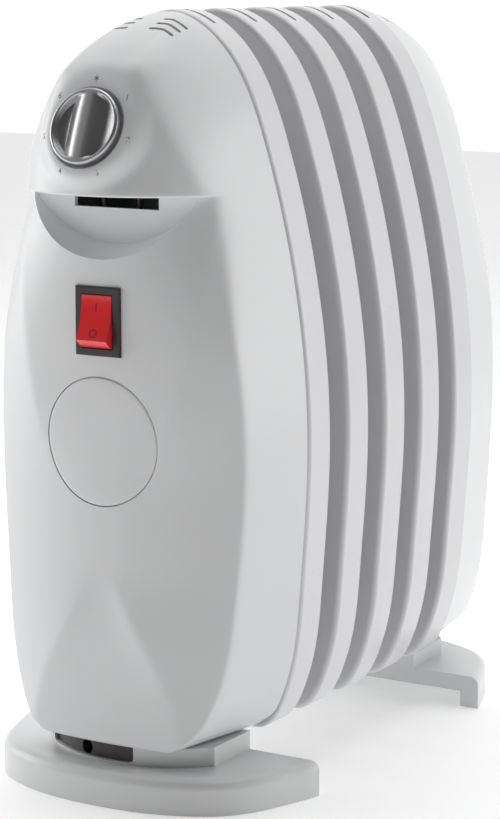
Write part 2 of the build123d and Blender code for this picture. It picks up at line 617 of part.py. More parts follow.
# ------------------------------------------------------------------ wiring
def wiring():
    """Terminal block, cord clamp, thermal cut-out and the wires between them."""
    front = FRONT_WEB_Y
    block = box((-17, 17), (front - 15, front), (37, 53))
    holes = [rod(1.5, (x, front - 20, 45), (x, front - 6, 45)) for x in (-11, 0, 11)]
    for hole in holes:
        block -= hole
    parts["terminal_block"] = block
    parts["terminal_screws"] = group(
        screw((x, front - 15, 45), (x, front - 7, 45), shank=1.5, head_r=2.4) for x in (-11, 0, 11))
    clamp = box((-12, 12), (front - 25, front - 18), (FLANGE_Z + PLATE, FLANGE_Z + PLATE + 3))
    for x in (-9, 9):
        clamp -= rod(1.5, (x, front - 21.5, 30), (x, front - 21.5, 40))
    parts["cord_clamp"] = clamp
    top = FLANGE_Z + PLATE + 3
    parts["clamp_screws"] = group(
        screw((x, front - 21.5, top), (x, front - 21.5, top - 3), shank=1.5, head_r=2.4) for x in (-9, 9))
    cutout = rod(8, (0, front, CUTOUT_Z), (0, FRONT_Y, CUTOUT_Z))
    for x in ((-7, -5), (5, 7)):
        cutout += box(x, (front - 8, front), (CUTOUT_Z - 3, CUTOUT_Z + 3))
    parts["thermal_cutout"] = cutout
    clip = box((-16, 16), (front - 0.9, front), (CUTOUT_Z - 5, CUTOUT_Z + 5))
    clip -= box((-7.6, 7.6), (front - 2, front + 1), (CUTOUT_Z - 3.6, CUTOUT_Z + 3.6))
    parts["cutout_clip"] = clip
    pin_y = FRONT_Y - 18.5 - WIRE_R
    z = LOWER_HUB_Z
    tab_y = switch_plane().origin.Y + BODY_D + 10 + WIRE_R
    lane = front - 12
    parts["wire_live"] = lead(
        [(-11, lane + 4, 53), (-11, lane + 4, 60), (-30, lane + 4, 78), (-30, lane + 4, 205),
         (-1.5, tab_y, 218), (-1.5, tab_y, SWITCH_Z - 7)], 4)
    behind_recess = FRONT_Y - RECESS_FLOOR + WALL + 4.0
    tab_face = -DIAL_PLATE - PLATE - 9 - 0.5 - WIRE_R
    high_tab = dial_plane(tab_face, -12).origin
    low_tab = dial_plane(tab_face, -20).origin
    parts["wire_switch_to_thermostat"] = lead(
        [(1.5, tab_y, SWITCH_Z - 2), (1.5, tab_y, 250), (10, behind_recess, 268), (10, behind_recess, 284),
         (10, low_tab.Y, low_tab.Z), (10, high_tab.Y, high_tab.Z)], 3)
    parts["wire_thermostat_to_cutout"] = lead(
        [(-10, high_tab.Y, high_tab.Z), (-10, low_tab.Y, low_tab.Z), (-10, behind_recess, 282),
         (-22, lane + 6, 262), (-22, lane + 6, 150), (-6, lane, 138), (-6, lane, CUTOUT_Z + 3)], 3)
    parts["wire_cutout_to_element"] = lead(
        [(6, lane, CUTOUT_Z - 3), (6, lane, CUTOUT_Z - 12), (PIN_X, pin_y, 96), (PIN_X, pin_y, z)], 4)
    parts["wire_neutral"] = lead(
        [(0, lane + 4, 53), (0, lane + 4, 60), (-PIN_X, pin_y, 66), (-PIN_X, pin_y, z)], 3)
    parts["wire_earth"] = lead(
        [(11, lane + 4, 53), (11, lane + 4, 58), (30, front - 3.4, 64), (30, front - 3.4, 108)], 4)
    parts["earth_screw"] = screw((EARTH_X, front, EARTH_Z), (EARTH_X, front + 6, EARTH_Z))


def main():
    """Build every piece and write it as its own file."""
    radiator()
    front_cover()
    rear_cover()
    feet()
    brackets()
    knob()
    thermostat()
    switch_housing()
    rocker()
    switch_contacts()
    wiring()
    os.makedirs("parts", exist_ok=True)
    for name, shape in parts.items():
        export_step(shape, f"parts/{name}.step")


if __name__ == "__main__":
    main()
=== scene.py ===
"""Looks of a small oil filled radiator heater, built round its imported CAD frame.

Shapes are worked out in millimetres and kept in metres. +Z is up and the controls face -Y.
On a cover, depth is measured outwards from the radiator's end band.
"""
import json
import math

import bmesh
import bpy
import numpy as np
from mathutils import Matrix, Vector
from mathutils.bvhtree import BVHTree
from mathutils.geometry import convex_hull_2d


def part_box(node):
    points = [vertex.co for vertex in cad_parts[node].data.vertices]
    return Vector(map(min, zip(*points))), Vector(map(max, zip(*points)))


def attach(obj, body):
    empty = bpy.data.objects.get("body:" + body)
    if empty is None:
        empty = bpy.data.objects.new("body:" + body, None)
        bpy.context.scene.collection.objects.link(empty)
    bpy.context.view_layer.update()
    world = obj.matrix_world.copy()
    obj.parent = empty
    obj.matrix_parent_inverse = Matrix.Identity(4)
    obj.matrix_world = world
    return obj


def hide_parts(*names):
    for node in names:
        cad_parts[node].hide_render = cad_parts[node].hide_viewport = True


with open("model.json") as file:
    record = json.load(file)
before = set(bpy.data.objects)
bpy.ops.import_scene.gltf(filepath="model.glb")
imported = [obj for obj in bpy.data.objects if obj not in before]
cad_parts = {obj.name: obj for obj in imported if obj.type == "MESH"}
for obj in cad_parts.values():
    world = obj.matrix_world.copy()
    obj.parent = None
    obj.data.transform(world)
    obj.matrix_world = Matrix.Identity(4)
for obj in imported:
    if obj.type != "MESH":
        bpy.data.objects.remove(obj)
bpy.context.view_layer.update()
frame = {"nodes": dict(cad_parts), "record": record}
MM = 0.001

# ------------------------------------------------------------------ sizes, in millimetres
VISOR_Z = 295.0             # underside of the visor
PANEL_DEPTH = 63.0
PANEL_R = (145.0, 72.0)     # rounder towards the visor
PANEL_TURN = (215.0, 300.0)
VISOR_R = 63.0
FRONT_VISOR = 76.5
REAR_VISOR = 69.0
VISOR_LIP = 1.4             # rounding of the visor's lower edge
LEAN = 80.0 / 14.0          # depth gained for each millimetre that a side leans in
WALL = 2.4
EDGE = 2.0                  # rounding of a cover's lower edge
CROWN = [(1.0, 0.0), (0.93, 0.36), (0.835, 0.64), (0.66, 0.775), (0.33, 0.91), (-0.08, 1.01)]
VEE = [(150.0, 27.0), (168.0, 33.5), (204.0, 42.5), (236.0, 48.5), (265.0, 53.0), (300.0, 56.0)]
VEE_FADE = (150.0, 200.0)
RIDGE = 3.2                 # how far the panel stands up along the vee and the lower facet's edges
RIDGE_SOFT = 0.1
APEX = [(20.0, 47.0), (40.0, 42.0), (62.0, 34.0), (96.0, 14.0), (119.0, 4.0)]
APEX_FADE = (75.0, 119.0)

RECESS_FLOOR = 47.0
RECESS_HALF = 48.5          # at the recess's floor
RECESS_LOW_Z = 270.6
RECESS_DRAFT = 0.39
RECESS_FACE = 86.0
RECESS_CORNER = 0.16        # share of the recess's arc that its rounded tips take
AIR_SLOT = (24.0, 287.4, 294.6)
VENT_X = 12.75
VENT_LENGTH = 13.5
VENT_WIDTH = 2.2
VENT_DEPTHS = (14.0, 20.5, 27.0)
FOOT_SCREW = (30.0, 24.0, 2.05)

DIAL_TILT = math.radians(22.0)
DIAL_Z = 326.7
DIAL_DEPTH = 71.25
SEAT = (20.8, 33.0)         # flat seat, and where it has run out into the visor
WELL_R = 19.8
WELL_DEPTH = 3.0
SPINDLE_HOLE_R = 7.0
KNOB_R = 18.6
KNOB_RIM = 3.4
KNOB_BOWL_R = 16.9          # inner edge of the rim
KNOB_SHADE_SKIRT = 1.2            # painted shade: the side is black below this height, standing in for the shade in the gap round the knob
BOWL_X = 10.5               # deepest line of each bowl
BOWL_DEPTH = 3.6
GRIP_POWER = 1.6            # above 1 for a grip that is rounded across
WAIST_DRAW = 0.1            # share by which the bowls' deepest line draws in at its ends
MARK_R = 24.2
MARK_COUNT = 7
MARK_SIZE = 3.9
INK = 0.06                  # height of print above its surface

DARK_SIDE = Vector((0.5, -0.86, 0.05))      # the way to the darker part of the surroundings
WORLD_TURN = (-0.75, 0.55)                  # how far that way the fall in brightness starts and ends
WORLD_STRENGTH = (1.1, 0.03)                # brightness before and after it
CAMERA_PLACE = (0.6848, -1.06, 0.3999)      # metres, its middle one ahead of the first band
CAMERA_DOWN = 9.735
CAMERA_TURN = 31.09
CAMERA_LENS = 113.26

CAP_Z = 177.0
CAP_R = 31.0
CAP_GAP = 0.55
CAP_T = 1.5


def corner(node, end, axis):
    """One coordinate of a CAD node's box, in millimetres."""
    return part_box(node)[end][axis] / MM


FRONT_Y = corner("fin_1_front_sheet", 0, 1)
REAR_Y = corner("fin_5_front_sheet", 1, 1)
PARTING = FRONT_Y - corner("front_cover", 1, 1)
BASE = corner("front_cover", 0, 2)
TOP = corner("front_cover", 1, 2)
RISE = corner("fin_1_front_sheet", 1, 2) - VISOR_Z


# ------------------------------------------------------------------ curves
def smooth_line(points, steps=12):
    """Dense points on a Catmull-Rom curve through the given ones."""
    p = np.array(points, float)
    p = np.vstack([2 * p[0] - p[1], p, 2 * p[-1] - p[-2]])
    t = np.linspace(0, 1, steps, endpoint=False)[:, None]
    runs = []
    for a, b, c, d in zip(p, p[1:], p[2:], p[3:]):
        runs.append(b + 0.5 * ((c - a) * t + (2 * a - 5 * b + 4 * c - d) * t ** 2
                               + (3 * b - a - 3 * c + d) * t ** 3))
    runs.append(p[-2:-1])
    return np.vstack(runs)


def smoothstep(low, high, value):
    t = np.clip((value - low) / (high - low), 0, 1)
    return t * t * (3 - 2 * t)


def soft_min(a, b, soft):
    blend = np.clip(1 - np.abs(a - b) / np.maximum(soft, 1e-6), 0, 1)
    return np.minimum(a, b) - blend ** 2 * soft / 4


def sag(x, radius):
    """How far a round front of this radius has fallen away at x."""
    x = np.minimum(np.abs(x), 0.985 * radius)
    return radius - np.sqrt(radius ** 2 - x ** 2)


CROWN_LINE = smooth_line(CROWN)
VEE_LINE = smooth_line(VEE)
APEX_LINE = smooth_line(APEX)


def rim_widths(node, count=400):
    """Half widths of a cover's rim, on heights that crowd towards the crown."""
    points = np.array([v.co for v in frame["nodes"][node].data.vertices]) / MM
    back = points[:, 1].max()
    rim = [Vector((x, z)) for x, y, z in points if y > back - 0.05]
    hull = sorted((rim[i].y, abs(rim[i].x)) for i in convex_hull_2d(rim))
    heights, widths = zip(*hull)
    t = np.linspace(0, 1, count)
    raw = np.interp(TOP - (TOP - BASE) * t ** 2, heights, widths)
    spread = 4
    padded = np.pad(raw, spread, mode="reflect", reflect_type="odd")
    window = np.ones(2 * spread + 1) / (2 * spread + 1)
    return t, np.convolve(padded, window, mode="valid")


RIM_T, RIM_W = rim_widths("front_cover")


def half_width(z, inset=0.0):
    """Half width of a cover where it meets the band, drawn in by inset."""
    share = np.clip((z - BASE - inset) / (TOP - BASE - 2 * inset), 0, 1)
    full = np.interp(np.sqrt(1 - share), RIM_T, RIM_W)
    return full * (1 - inset / RIM_W.max())


# ------------------------------------------------------------------ cover surface
def ridge(across, line, width):
    """Share of a ridge's height: rising smoothly to the line, then falling evenly to the side."""
    return soft_min((across / line) ** 2, (width - across) / (width - line), RIDGE_SOFT)


def panel_depth(x, z):
    """Front panel: a shallow round with ridges along the vee and along the lower facet."""
    across = np.abs(x)
    width = half_width(z)
    radius = PANEL_R[0] + (PANEL_R[1] - PANEL_R[0]) * smoothstep(*PANEL_TURN, z)
    depth = PANEL_DEPTH - sag(x, radius)
    vee = np.interp(z, VEE_LINE[:, 0], VEE_LINE[:, 1])
    depth = depth + RIDGE * smoothstep(*VEE_FADE, z) * ridge(across, vee, width)
    apex = np.interp(z, APEX_LINE[:, 0], APEX_LINE[:, 1])
    return depth + RIDGE * (1 - smoothstep(*APEX_FADE, z)) * ridge(across, apex, width)


def visor_depth(x, z, reach, inset, dial):
    """Domed visor, with the dial's tilted seat if there is one."""
    share = np.clip((z - VISOR_Z) / (RISE - inset), 0, 1.01)
    depth = (reach - inset) * np.interp(share, CROWN_LINE[:, 1], CROWN_LINE[:, 0])
    depth = depth - sag(x, VISOR_R)
    if not dial:
        return depth
    up = (z - DIAL_Z) / math.cos(DIAL_TILT)
    seat = DIAL_DEPTH - inset - math.sin(DIAL_TILT) * up
    return seat + (depth - seat) * smoothstep(*SEAT, np.hypot(x, up))


def cover_depth(x, z, side_width, above, reach, inset, dial):
    """Depth of the cover's whole surface, with the corner between front and side softened."""
    side = PARTING + (side_width - np.abs(x)) * LEAN
    panel = panel_depth(x, z) - inset
    if above:
        visor = visor_depth(x, z, reach, inset, dial)
        front = np.where(z < VISOR_Z + 40, np.maximum(visor, np.minimum(panel, visor)), visor)
    else:
        front = panel
    soft = 7 + 9 * smoothstep(200, 290, z) + 34 * smoothstep(300, 352, z)
    soft = soft * np.clip(front / 55, 0.02, 1)
    return soft_min(side, front, soft), side - front


def cover_rows(inset):
    """Heights of the rows: (z, how far the surface is drawn in there, above the visor's edge)."""
    low = BASE + inset
    step = VISOR_Z + inset
    rows = []
    for angle in np.linspace(0, math.pi / 2, 5):
        rows.append((low + EDGE * (1 - math.cos(angle)), EDGE * (1 - math.sin(angle)), False))
    count = 90
    for share in np.linspace(0, 1, count)[1:]:
        rows.append((low + EDGE + (step - low - EDGE) * share, 0.0, False))
    for angle in np.linspace(0, math.pi / 2, 5):
        rows.append((step + VISOR_LIP * (1 - math.cos(angle)), VISOR_LIP * (1 - math.sin(angle)), True))
    crown = TOP - inset
    for share in np.linspace(1, 0, 56)[1:-1]:
        rows.append((crown - (crown - step - VISOR_LIP) * share ** 1.7, 0.0, True))
    return rows, crown


SIDE_STEPS = [0, 0.15, 0.3, 0.45, 0.58, 0.68, 0.76, 0.82, 0.87, 0.91, 0.94, 0.965, 0.985, 1.0]
PANEL_STEPS = [0.994, 0.985, 0.972, 0.955, 0.935, 0.91]


def cover_row(z, drawn, above, reach, inset, dial):
    """Points (x, depth) of one row, from the left rim to the right rim."""
    width = half_width(z, inset) - (0.0 if above else drawn)

    def surface(x):
        return cover_depth(x, z, width, above, reach, inset, dial)

    inner, outer = 0.0, float(width)
    for _ in range(30):
        middle = (inner + outer) / 2
        if surface(middle)[1] > 0:
            inner = middle
        else:
            outer = middle
    crease = inner
    side = [width + (crease - width) * s for s in SIDE_STEPS]
    panel = [crease * s for s in PANEL_STEPS] + list(np.linspace(0.885, 0, 26) * crease)
    right = np.array(side + panel)
    x = np.concatenate([-right, right[-2::-1]])
    depth = surface(x)[0]
    if above and drawn:
        lip = depth - surface_below(x, z, width, reach, inset, dial)
        drawn = drawn * np.clip(lip / 4, 0, 1)
    depth = depth - drawn
    depth = np.maximum(depth, PARTING + 0.05 + 0.3 * (width - np.abs(x)))
    depth[[0, -1]] = PARTING
    return x, depth


def surface_below(x, z, width, reach, inset, dial):
    """The panel's surface carried on upwards behind the visor's edge."""
    return cover_depth(x, z, width, False, reach, inset, dial)[0]


def cover_block(reach, inset, dial):
    """Closed form of a cover as points (x, depth, z) and faces; a drawn-in form runs out at the back."""
    rows, crown = cover_rows(inset)
    points = []
    for z, drawn, above in rows:
        x, depth = cover_row(z, drawn, above, reach, inset, dial)
        row = [(a, b, z) for a, b in zip(x, depth)]
        if inset:
            row = [(row[0][0], PARTING - 3, z)] + row + [(row[-1][0], PARTING - 3, z)]
        points.append(row)
    width = len(points[0])
    faces = []
    for r in range(len(points) - 1):
        for c in range(width):
            n = (c + 1) % width
            faces.append((r * width + c, r * width + n, (r + 1) * width + n, (r + 1) * width + c))
    faces.append(tuple(range(width)))
    faces.append(tuple(range((len(points) - 1) * width, len(points) * width)))
    return [p for row in points for p in row], faces


# ------------------------------------------------------------------ meshes
def make_mesh(name, points, faces):
    """Object from millimetre points, with its faces turned outwards."""
    mesh = bpy.data.meshes.new(name)
    mesh.from_pydata([tuple(map(float, p)) for p in points], [], faces)
    bm = bmesh.new()
    bm.from_mesh(mesh)
    bmesh.ops.recalc_face_normals(bm, faces=bm.faces)
    bm.to_mesh(mesh)
    bm.free()
    obj = bpy.data.objects.new(name, mesh)
    bpy.context.scene.collection.objects.link(obj)
    return obj


def prism(outline, low, high, place):
    """Points and faces of a prism between two outlines; place turns (a, b, level) into a point."""
    tops = outline if isinstance(outline, tuple) else (outline, outline)
    count = len(tops[0])
    points = [place(a, b, low) for a, b in tops[0]] + [place(a, b, high) for a, b in tops[1]]
    faces = [(i, (i + 1) % count, count + (i + 1) % count, count + i) for i in range(count)]
    faces += [tuple(range(count)), tuple(range(count, 2 * count))]
    return points, faces


def join(shapes):
    """One list of points and faces from several."""
    points = []
    faces = []
    for some, others in shapes:
        start = len(points)
        points += some
        faces += [tuple(i + start for i in face) for face in others]
    return points, faces


def carve(obj, shape, operation="DIFFERENCE"):
    """Boolean of obj with a shape, applied to its mesh."""
    tool = make_mesh("tool", *shape)
    step = obj.modifiers.new("carve", "BOOLEAN")
    step.operation = operation
    step.solver = "EXACT"
    step.object = tool
    bpy.context.view_layer.update()
    result = bpy.data.meshes.new_from_object(obj.evaluated_get(bpy.context.evaluated_depsgraph_get()))
    obj.modifiers.clear()
    obj.data = result
    bpy.data.objects.remove(tool)


def rectangle(half_a, low, high):
    return [(-half_a, low), (half_a, low), (half_a, high), (-half_a, high)]


def round_outline(radius, count=96, centre=(0.0, 0.0)):
    return [(centre[0] + radius * math.cos(2 * math.pi * i / count),
             centre[1] + radius * math.sin(2 * math.pi * i / count)) for i in range(count)]


def crescent(spread, grow):
    """Outline (x, z) of the finger recess at one depth, with rounded tips."""
    half = RECESS_HALF + spread + grow
    low = RECESS_LOW_Z - spread - grow
    top = VISOR_Z + grow
    tall = top - low
    radius = (half ** 2 + tall ** 2) / (2 * tall)
    reach = math.asin(half / radius) if tall < radius else math.pi - math.asin(half / radius)
    arc = [(radius * math.sin(a), low + radius - radius * math.cos(a))
           for a in np.linspace(0, reach * (1 - RECESS_CORNER), 33)]
    start = Vector(arc[-1])
    tip = Vector((half, top))
    end = tip - Vector(((tip - start).length, 0))
    round_tip = [start * (1 - t) ** 2 + tip * 2 * t * (1 - t) + end * t ** 2
                 for t in np.linspace(0, 1, 9)[1:]]
    right = arc + [tuple(p) for p in round_tip]
    return right + [(-x, z) for x, z in right[:0:-1]]


class Side:
    """Places cover points (x, z at a depth) in the row frame for the front or the rear cover."""

    def __init__(self, band_y, way):
        self.band_y = band_y
        self.way = way

    def at(self, x, z, depth):
        return (x, self.band_y + self.way * depth, z)

    def block(self, shape):
        return [self.at(x, z, depth) for x, depth, z in shape[0]], shape[1]


FRONT = Side(FRONT_Y, -1)
REAR = Side(REAR_Y, 1)


def recess_tool(side, grow):
    spread = RECESS_DRAFT * (RECESS_FACE - RECESS_FLOOR)
    outlines = (crescent(0.0, grow), crescent(spread, grow))
    return prism(outlines, RECESS_FLOOR - grow, RECESS_FACE, side.at)


def vent_tools(side):
    """Slots through the crown, in two groups of three."""
    tools = []
    end = VENT_WIDTH / 2
    for depth in VENT_DEPTHS:
        for way in (-1, 1):
            outline = []
            for end_way in (-1, 1):
                for angle in np.linspace(-math.pi / 2, math.pi / 2, 7):
                    x = end_way * (VENT_LENGTH / 2 - end + end * math.cos(angle))
                    outline.append((way * VENT_X + x, depth + end_way * end * math.sin(angle)))
            tools.append(prism(outline, VISOR_Z + 45, TOP + 20,
                               lambda x, deep, z: side.at(x, z, deep)))
    return tools


def dial_point(a, b, level):
    """Point above the dial's seat: a to the right, b up the seat, level outwards from it."""
    depth = DIAL_DEPTH - math.sin(DIAL_TILT) * b + math.cos(DIAL_TILT) * level
    return FRONT.at(a, DIAL_Z + math.cos(DIAL_TILT) * b + math.sin(DIAL_TILT) * level, depth)


def turned(profile, place, count=96):
    """Solid turned from a profile of (radius, level), closed on its axis at both ends."""
    points = []
    for radius, level in profile:
        points += [place(x, y, level) for x, y in round_outline(radius, count)]
    faces = []
    for r in range(len(profile) - 1):
        for i in range(count):
            n = (i + 1) % count
            faces.append((r * count + i, r * count + n, (r + 1) * count + n, (r + 1) * count + i))
    faces += [tuple(range(count)), tuple(range(len(points) - count, len(points)))]
    return points, faces


def panel_disc(radius, back, front, centre_z, edge=0.0):
    """Disc that follows the front panel; back and front are levels measured from its surface."""
    rings = list(np.linspace(0, radius - edge, 14)[1:])
    front_rings = [(r, front) for r in rings]
    for angle in np.linspace(0, math.pi / 2, 5)[1:] if edge else ():
        front_rings.append((radius - edge + edge * math.sin(angle), front - edge * (1 - math.cos(angle))))
    levels = [(r, back) for r in rings]
    if edge:
        levels.append((radius, back))
    levels += front_rings[::-1]
    points = []
    count = 96
    for r, level in levels:
        for x, up in round_outline(r, count):
            z = centre_z + up
            points.append(FRONT.at(x, z, float(panel_depth(x, z)) + level))
    faces = []
    for k in range(len(levels) - 1):
        for i in range(count):
            n = (i + 1) % count
            faces.append((k * count + i, k * count + n, (k + 1) * count + n, (k + 1) * count + i))
    faces += [tuple(range(count)), tuple(range(len(points) - count, len(points)))]
    return points, faces


def finish_mesh(obj, sharp=30.0):
    """Millimetres to metres, smooth shading, and sharp edges where the surface turns hard."""
    obj.data.transform(Matrix.Scale(MM, 4))
    obj.data.shade_smooth()
    obj.data.set_sharp_from_angle(angle=math.radians(sharp))


def cover(name, side, reach, dial):
    """Cover shell with its finger recess, air slot, vents and screw holes."""
    hollow = make_mesh("hollow", *side.block(cover_block(reach, WALL, dial)))
    carve(hollow, recess_tool(side, WALL))
    if dial:
        cup = [(WELL_R + WALL, -WELL_DEPTH - WALL), (WELL_R + WALL, 10.0)]
        carve(hollow, turned(cup, dial_point))
    shell = make_mesh(name, *side.block(cover_block(reach, 0.0, dial)))
    step = [tuple(v.co) for v in hollow.data.vertices], [tuple(f.vertices) for f in hollow.data.polygons]
    carve(shell, step)
    bpy.data.objects.remove(hollow)
    carve(shell, recess_tool(side, 0.0))
    slot = prism(rectangle(AIR_SLOT[0], AIR_SLOT[1], AIR_SLOT[2]), RECESS_FLOOR - WALL - 1,
                 RECESS_FLOOR + 0.5, side.at)
    tools = vent_tools(side) + [slot]
    x, depth, radius = FOOT_SCREW
    for way in (-1, 1):
        tools.append(prism(round_outline(radius, 24, (way * x, depth)), BASE - 2, BASE + WALL + 2,
                           lambda a, deep, z: side.at(a, z, deep)))
    carve(shell, join(tools))
    return shell


def front_cover():
    """Front cover: the common shell with the dial's well, the switch's opening and the cap's seat."""
    shell = cover("cover_front", FRONT, FRONT_VISOR, True)
    well = [(WELL_R, -WELL_DEPTH), (WELL_R, -0.5), (WELL_R + 0.5, 0.0), (WELL_R + 0.5, 8.0)]
    carve(shell, turned(well, dial_point))
    carve(shell, turned([(SPINDLE_HOLE_R, -WELL_DEPTH - WALL - 2), (SPINDLE_HOLE_R, 0)], dial_point, 48))
    half = corner("switch_housing", 1, 0) + 0.2
    low, high = corner("switch_housing", 0, 2) - 0.2, corner("switch_housing", 1, 2) + 0.2
    seat = PANEL_DEPTH - sag(half, PANEL_R[0])
    opening = 1.6
    carve(shell, prism(rectangle(half, low, high), seat, seat + 10, FRONT.at))
    carve(shell, prism(rectangle(half - opening, low + opening, high - opening), seat - 10, seat + 1,
                       FRONT.at))
    carve(shell, panel_disc(CAP_R + CAP_GAP, -CAP_T, 6.0, CAP_Z))
    finish_mesh(shell)
    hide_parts("front_cover")
    return shell


def rear_cover():
    """Rear cover: the same shell facing the other way."""
    shell = cover("cover_rear", REAR, REAR_VISOR, False)
    finish_mesh(shell)
    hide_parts("rear_cover")
    return shell


def cap():
    """Round blanking cap, flush with the panel, with a rounded rim."""
    disc = make_mesh("cap_round", *panel_disc(CAP_R, -CAP_T + 0.1, 0.05, CAP_Z, edge=0.7))
    finish_mesh(disc, 60)
    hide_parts("round_cap")
    return disc


# ------------------------------------------------------------------ dial
def knob_height(a, b):
    """Height of the knob's face: a rim, and two smooth bowls with a rounded grip between them."""
    away = abs(a)
    waist = BOWL_X * (1 - WAIST_DRAW * (b / KNOB_R) ** 2)
    if away < waist:
        bowl = 0.5 - 0.5 * math.cos(math.pi * (away / waist) ** GRIP_POWER)
    else:
        bowl = 0.8 + 0.2 * math.cos(math.pi * (away - waist) / (KNOB_R - waist))
    inside = 1 - float(smoothstep(KNOB_BOWL_R - 1.6, KNOB_BOWL_R, math.hypot(a, b)))
    return KNOB_RIM - BOWL_DEPTH * bowl * inside


def knob():
    """Silver knob as a grid of rings; its lower side is black, as painted shade for the dark gap round it.
    """
    count = 144
    edge = 1.2
    under = -WELL_DEPTH + 0.6
    levels = [(r, None) for r in np.linspace(0.5, KNOB_R - edge, 44)]
    for angle in np.linspace(0, math.pi / 2, 6)[1:]:
        levels.append((KNOB_R - edge + edge * math.sin(angle), KNOB_RIM - edge * (1 - math.cos(angle))))
    levels += [(KNOB_R, KNOB_SHADE_SKIRT + 0.4), (KNOB_R, KNOB_SHADE_SKIRT), (KNOB_R - 0.5, KNOB_SHADE_SKIRT - 0.25),
               (KNOB_R - 0.5, under), (6.0, under)]
    points = []
    for radius, level in levels:
        for a, b in round_outline(radius, count):
            points.append(dial_point(a, b, knob_height(a, b) if level is None else level))
    faces = []
    for k in range(len(levels) - 1):
        for i in range(count):
            n = (i + 1) % count
            faces.append((k * count + i, k * count + n, (k + 1) * count + n, (k + 1) * count + i))
    faces += [tuple(range(count)), tuple(range(len(points) - count, len(points)))]
    obj = make_mesh("knob_dial", points, faces)
    # Faces below the skirt's step take the second slot: black, as painted shade for the gap between knob
    # and well.
    silver_rings = len(levels) - 4
    for face in obj.data.polygons:
        face.material_index = 0 if min(face.vertices) < (silver_rings - 1) * count else 1
    finish_mesh(obj, 40)
    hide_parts("control_knob")
    return obj


def dial_marks(shell):
    """Printed marks round the dial: a frost star at the top, then 1 to 6 clockwise."""
    tree = BVHTree.FromPolygons([v.co / MM for v in shell.data.vertices],
                                [tuple(f.vertices) for f in shell.data.polygons])
    marks = []
    for index in range(MARK_COUNT):
        angle = 2 * math.pi * index / MARK_COUNT
        x = MARK_R * math.sin(angle)
        z = DIAL_Z + MARK_R * math.cos(angle) * math.cos(DIAL_TILT)

        def place(a, b, level, x=x, z=z):
            start = Vector(FRONT.at(x + a, z + b, DIAL_DEPTH + 40))
            hit = tree.ray_cast(start, Vector((0, 1, 0)))[0]
            return hit + Vector((0, -level, 0))

        if index == 0:
            marks.append(star_mark(place))
        else:
            marks.append(text_mark(f"mark_{index}", str(index), place))
    return marks


def star_mark(place):
    """Six-armed frost star."""
    shapes = []
    for arm in range(3):
        turn = math.pi / 3 * arm

        def spot(a, b, level, turn=turn):
            across = a * math.cos(turn) - b * math.sin(turn)
            up = a * math.sin(turn) + b * math.cos(turn)
            return place(across, up, level)

        shapes.append(prism(rectangle(0.17, -1.5, 1.5), -0.02, INK + 0.01 * arm, spot))
    star = make_mesh("mark_frost", *join(shapes))
    finish_mesh(star)
    return star


def text_mark(name, text, place):
    """Printed character as a thin mesh that follows the visor."""
    curve = bpy.data.curves.new(name, "FONT")
    curve.body = text
    curve.size = MARK_SIZE
    curve.align_x = "CENTER"
    curve.align_y = "CENTER"
    curve.extrude = INK
    maker = bpy.data.objects.new(name + "_maker", curve)
    bpy.context.scene.collection.objects.link(maker)
    bpy.context.view_layer.update()
    mesh = bpy.data.meshes.new_from_object(maker.evaluated_get(bpy.context.evaluated_depsgraph_get()))
    bpy.data.objects.remove(maker)
    for vertex in mesh.vertices:
        vertex.co = place(*vertex.co)
    obj = bpy.data.objects.new(name, mesh)
    bpy.context.scene.collection.objects.link(obj)
    finish_mesh(obj)
    return obj


# ------------------------------------------------------------------ rocker marks
def rocker_marks():
    """I and O printed on the rocker, on its own face."""
    source = frame["nodes"]["rocker"].data
    tree = BVHTree.FromPolygons([v.co / MM for v in source.vertices],
                                [tuple(p.vertices) for p in source.polygons])
    middle = (corner("rocker", 0, 2) + corner("rocker", 1, 2)) / 2
    marks = []
    for name, up in (("mark_on", 6.2), ("mark_off", -5.8)):
        hit, normal, _, _ = tree.ray_cast(Vector((0, FRONT_Y - 200, middle + up)), Vector((0, 1, 0)))
        out = Vector((0, normal.y, normal.z)).normalized()
        right = Vector((1, 0, 0))
        place = Matrix((right, out.cross(right), out)).transposed().to_4x4()
        place.translation = hit + out * 0.02

        def spot(a, b, level, place=place):
            return tuple(place @ Vector((a, b, level)))

        if name == "mark_on":
            obj = make_mesh(name, *prism(rectangle(0.3, -2.1, 2.1), -0.04, 0.04, spot))
        else:
            ring = [(2.1, -0.04), (2.1, 0.04), (1.55, 0.04), (1.55, -0.04)]
            obj = make_mesh(name, *ring_shape(ring, spot))
        finish_mesh(obj)
        marks.append(obj)
    return marks


def ring_shape(profile, place, count=48):
    """Closed ring turned from a profile of (radius, level)."""
    points = []
    for radius, level in profile:
        points += [place(x, y, level) for x, y in round_outline(radius, count)]
    faces = []
    for k in range(len(profile)):
        m = (k + 1) % len(profile)
        for i in range(count):
            n = (i + 1) % count
            faces.append((k * count + i, k * count + n, m * count + n, m * count + i))
    return points, faces


